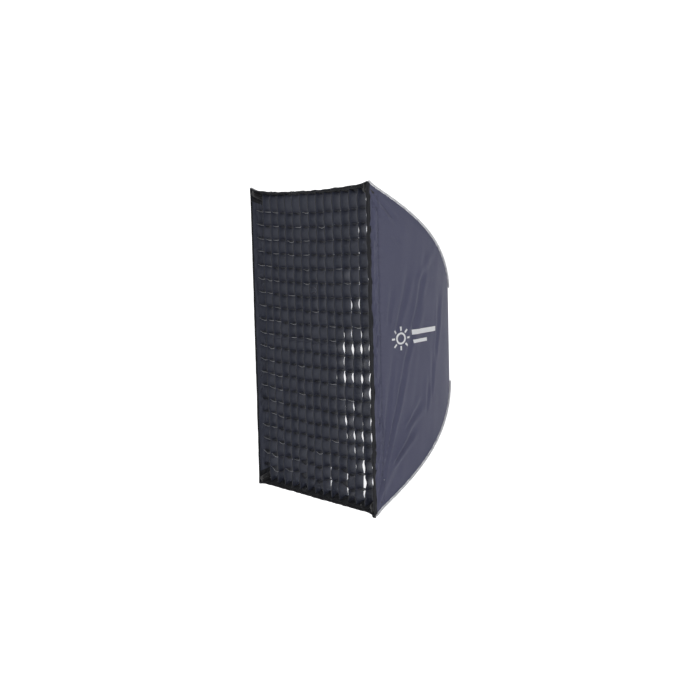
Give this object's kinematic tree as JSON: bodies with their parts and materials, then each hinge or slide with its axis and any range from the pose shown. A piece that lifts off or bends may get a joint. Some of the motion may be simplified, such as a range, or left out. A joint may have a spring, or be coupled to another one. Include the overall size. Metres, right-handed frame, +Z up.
{
  "type": "softbox",
  "caption": "Folding rectangular softbox with a fabric shell on bowed corner rods, a fabric egg-crate grid, two diffusers and a turning bayonet hub.",
  "frame": {"origin": "on the light's axis at the rear seat of the bayonet ring", "axes": "+Y out of the back into the light, -Y out of the gridded front, +Z up along the long side, +X to the right seen from the front"},
  "size_m": [0.606, 0.458, 0.907],
  "materials": {
    "cast_alloy": "black anodised",
    "steel": "plated",
    "glide_plastic": "smooth",
    "moulded_plastic": "fine texture",
    "glassfibre_rod": "smooth",
    "webbing": "woven",
    "shell_nylon": "woven, silver lined",
    "piping": "corded",
    "grid_fabric": "woven",
    "diffuser_fabric": "translucent",
    "elastic": "knitted"
  },
  "bodies": {
    "mount_ring": {"bayonet_ring": "cast_alloy", "retaining_ring": "cast_alloy", "retaining_screws": "steel", "glide_ring": "glide_plastic"},
    "hub": {"hub_ring": "cast_alloy", "fabric_clamp_ring": "cast_alloy", "clamp_screws": "steel", "hinge_pins": "steel", "rear_yoke": "shell_nylon", "top_panel": "shell_nylon", "bottom_panel": "shell_nylon", "left_panel": "shell_nylon", "right_panel": "shell_nylon", "front_lip": "shell_nylon", "lip_loop_band": "webbing", "seam_bindings": "piping", "grid_border": "grid_fabric", "grid_uprights": "grid_fabric", "grid_rungs": "grid_fabric", "front_diffuser": "diffuser_fabric", "inner_diffuser": "diffuser_fabric", "diffuser_straps": "elastic", "plunger_spring_ul": "steel", "plunger_spring_ur": "steel", "plunger_spring_ll": "steel", "plunger_spring_lr": "steel"},
    "rod_ul": {"rod_carrier_ul": "moulded_plastic", "rod_ul": "glassfibre_rod", "rod_tip_ul": "moulded_plastic", "corner_pocket_ul": "webbing", "rod_rivet_ul": "steel"},
    "plunger_ul": {"release_plunger_ul": "moulded_plastic"},
    "rod_ur": {"rod_carrier_ur": "moulded_plastic", "rod_ur": "glassfibre_rod", "rod_tip_ur": "moulded_plastic", "corner_pocket_ur": "webbing", "rod_rivet_ur": "steel"},
    "plunger_ur": {"release_plunger_ur": "moulded_plastic"},
    "rod_ll": {"rod_carrier_ll": "moulded_plastic", "rod_ll": "glassfibre_rod", "rod_tip_ll": "moulded_plastic", "corner_pocket_ll": "webbing", "rod_rivet_ll": "steel"},
    "plunger_ll": {"release_plunger_ll": "moulded_plastic"},
    "rod_lr": {"rod_carrier_lr": "moulded_plastic", "rod_lr": "glassfibre_rod", "rod_tip_lr": "moulded_plastic", "corner_pocket_lr": "webbing", "rod_rivet_lr": "steel"},
    "plunger_lr": {"release_plunger_lr": "moulded_plastic"}
  },
  "joints": [
    {"name": "softbox_rotation", "type": "hinge", "parent": "mount_ring", "child": "hub", "pos_m": [0, 0, 0], "axis": [0, 1, 0], "continuous": true},
    {"name": "rod_fold_ul", "type": "hinge", "parent": "hub", "child": "rod_ul", "pos_m": [-0.0477, -0.023, 0.07156], "axis": [0.8321, 0, 0.5547], "range_deg": [0, 50], "deforming": ["rear_yoke", "top_panel", "bottom_panel", "left_panel", "right_panel", "front_lip", "lip_loop_band", "seam_bindings", "grid_border", "grid_uprights", "grid_rungs", "front_diffuser", "inner_diffuser", "diffuser_straps"]},
    {"name": "release_ul", "type": "slide", "parent": "hub", "child": "plunger_ul", "axis": [0, 1, 0], "range_m": [0, 0.004], "stiffness_N_per_m": 900, "springref_m": -0.003, "deforming": ["plunger_spring_ul"]},
    {"name": "rod_fold_ur", "type": "hinge", "parent": "hub", "child": "rod_ur", "pos_m": [0.0477, -0.023, 0.07156], "axis": [0.8321, 0, -0.5547], "range_deg": [0, 50]},
    {"name": "release_ur", "type": "slide", "parent": "hub", "child": "plunger_ur", "axis": [0, 1, 0], "range_m": [0, 0.004], "stiffness_N_per_m": 900, "springref_m": -0.003, "deforming": ["plunger_spring_ur"]},
    {"name": "rod_fold_ll", "type": "hinge", "parent": "hub", "child": "rod_ll", "pos_m": [-0.0477, -0.023, -0.07156], "axis": [-0.8321, 0, 0.5547], "range_deg": [0, 50]},
    {"name": "release_ll", "type": "slide", "parent": "hub", "child": "plunger_ll", "axis": [0, 1, 0], "range_m": [0, 0.004], "stiffness_N_per_m": 900, "springref_m": -0.003, "deforming": ["plunger_spring_ll"]},
    {"name": "rod_fold_lr", "type": "hinge", "parent": "hub", "child": "rod_lr", "pos_m": [0.0477, -0.023, -0.07156], "axis": [-0.8321, 0, -0.5547], "range_deg": [0, 50]},
    {"name": "release_lr", "type": "slide", "parent": "hub", "child": "plunger_lr", "axis": [0, 1, 0], "range_m": [0, 0.004], "stiffness_N_per_m": 900, "springref_m": -0.003, "deforming": ["plunger_spring_lr"]}
  ],
  "couplings": [
    {"joint": "rod_fold_ur", "follows": "rod_fold_ul", "ratio": 1},
    {"joint": "rod_fold_ll", "follows": "rod_fold_ul", "ratio": 1},
    {"joint": "rod_fold_lr", "follows": "rod_fold_ul", "ratio": 1}
  ]
}
